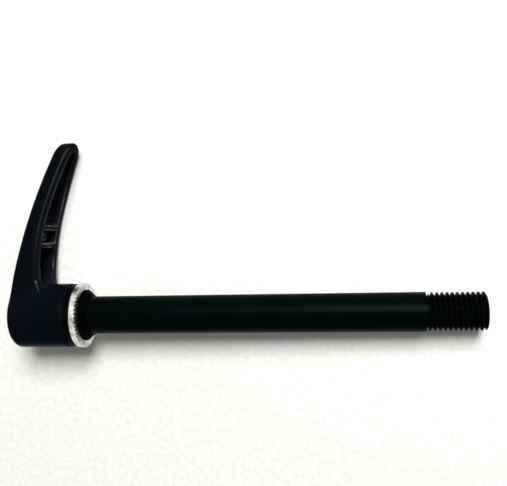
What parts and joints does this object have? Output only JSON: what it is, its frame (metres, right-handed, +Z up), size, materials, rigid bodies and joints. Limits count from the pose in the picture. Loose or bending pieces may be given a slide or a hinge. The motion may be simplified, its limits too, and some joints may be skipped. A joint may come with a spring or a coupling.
{
  "type": "bicycle thru axle",
  "caption": "Hollow round thru axle with a threaded end, a curved ratcheting hand lever and a serrated clamping ring.",
  "frame": {"origin": "centre of the bounding box's bottom, on the table that the axle lies on", "axes": "+X runs along the axle towards its thread (it dips 2 degrees to the table), +Y towards the lever's tip, +Z up"},
  "size_m": [0.1484, 0.066, 0.0219],
  "materials": {
    "axle_black": "gloss black anodised",
    "cone_black": "satin black anodised",
    "ring_steel": "bright nickel-like, serrated face",
    "lever_black": "gloss black coated",
    "insert_steel": "plain hardened",
    "spring_steel": "plain wire",
    "washer_steel": "zinc plated",
    "screw_steel": "black oxide"
  },
  "bodies": {
    "axle_body": {"axle": "axle_black", "seat_cone": "cone_black", "thrust_washer": "washer_steel", "retaining_screw": "screw_steel", "return_spring": "spring_steel"},
    "ring_body": {"serrated_ring": "ring_steel"},
    "lever_body": {"lever": "lever_black", "drive_insert": "insert_steel"}
  },
  "joints": [
    {"name": "lever_pull", "type": "slide", "parent": "axle_body", "child": "lever_body", "axis": [-0.9994, 0, 0.0358], "range_m": [0, 0.0041], "stiffness_N_per_m": 1460, "springref_m": -0.003, "deforming": ["return_spring"]},
    {"name": "ring_spin", "type": "hinge", "parent": "axle_body", "child": "ring_body", "pos_m": [-0.05086, -0.02265, 0.01089], "axis": [0.9994, 0, -0.0358], "continuous": true}
  ]
}
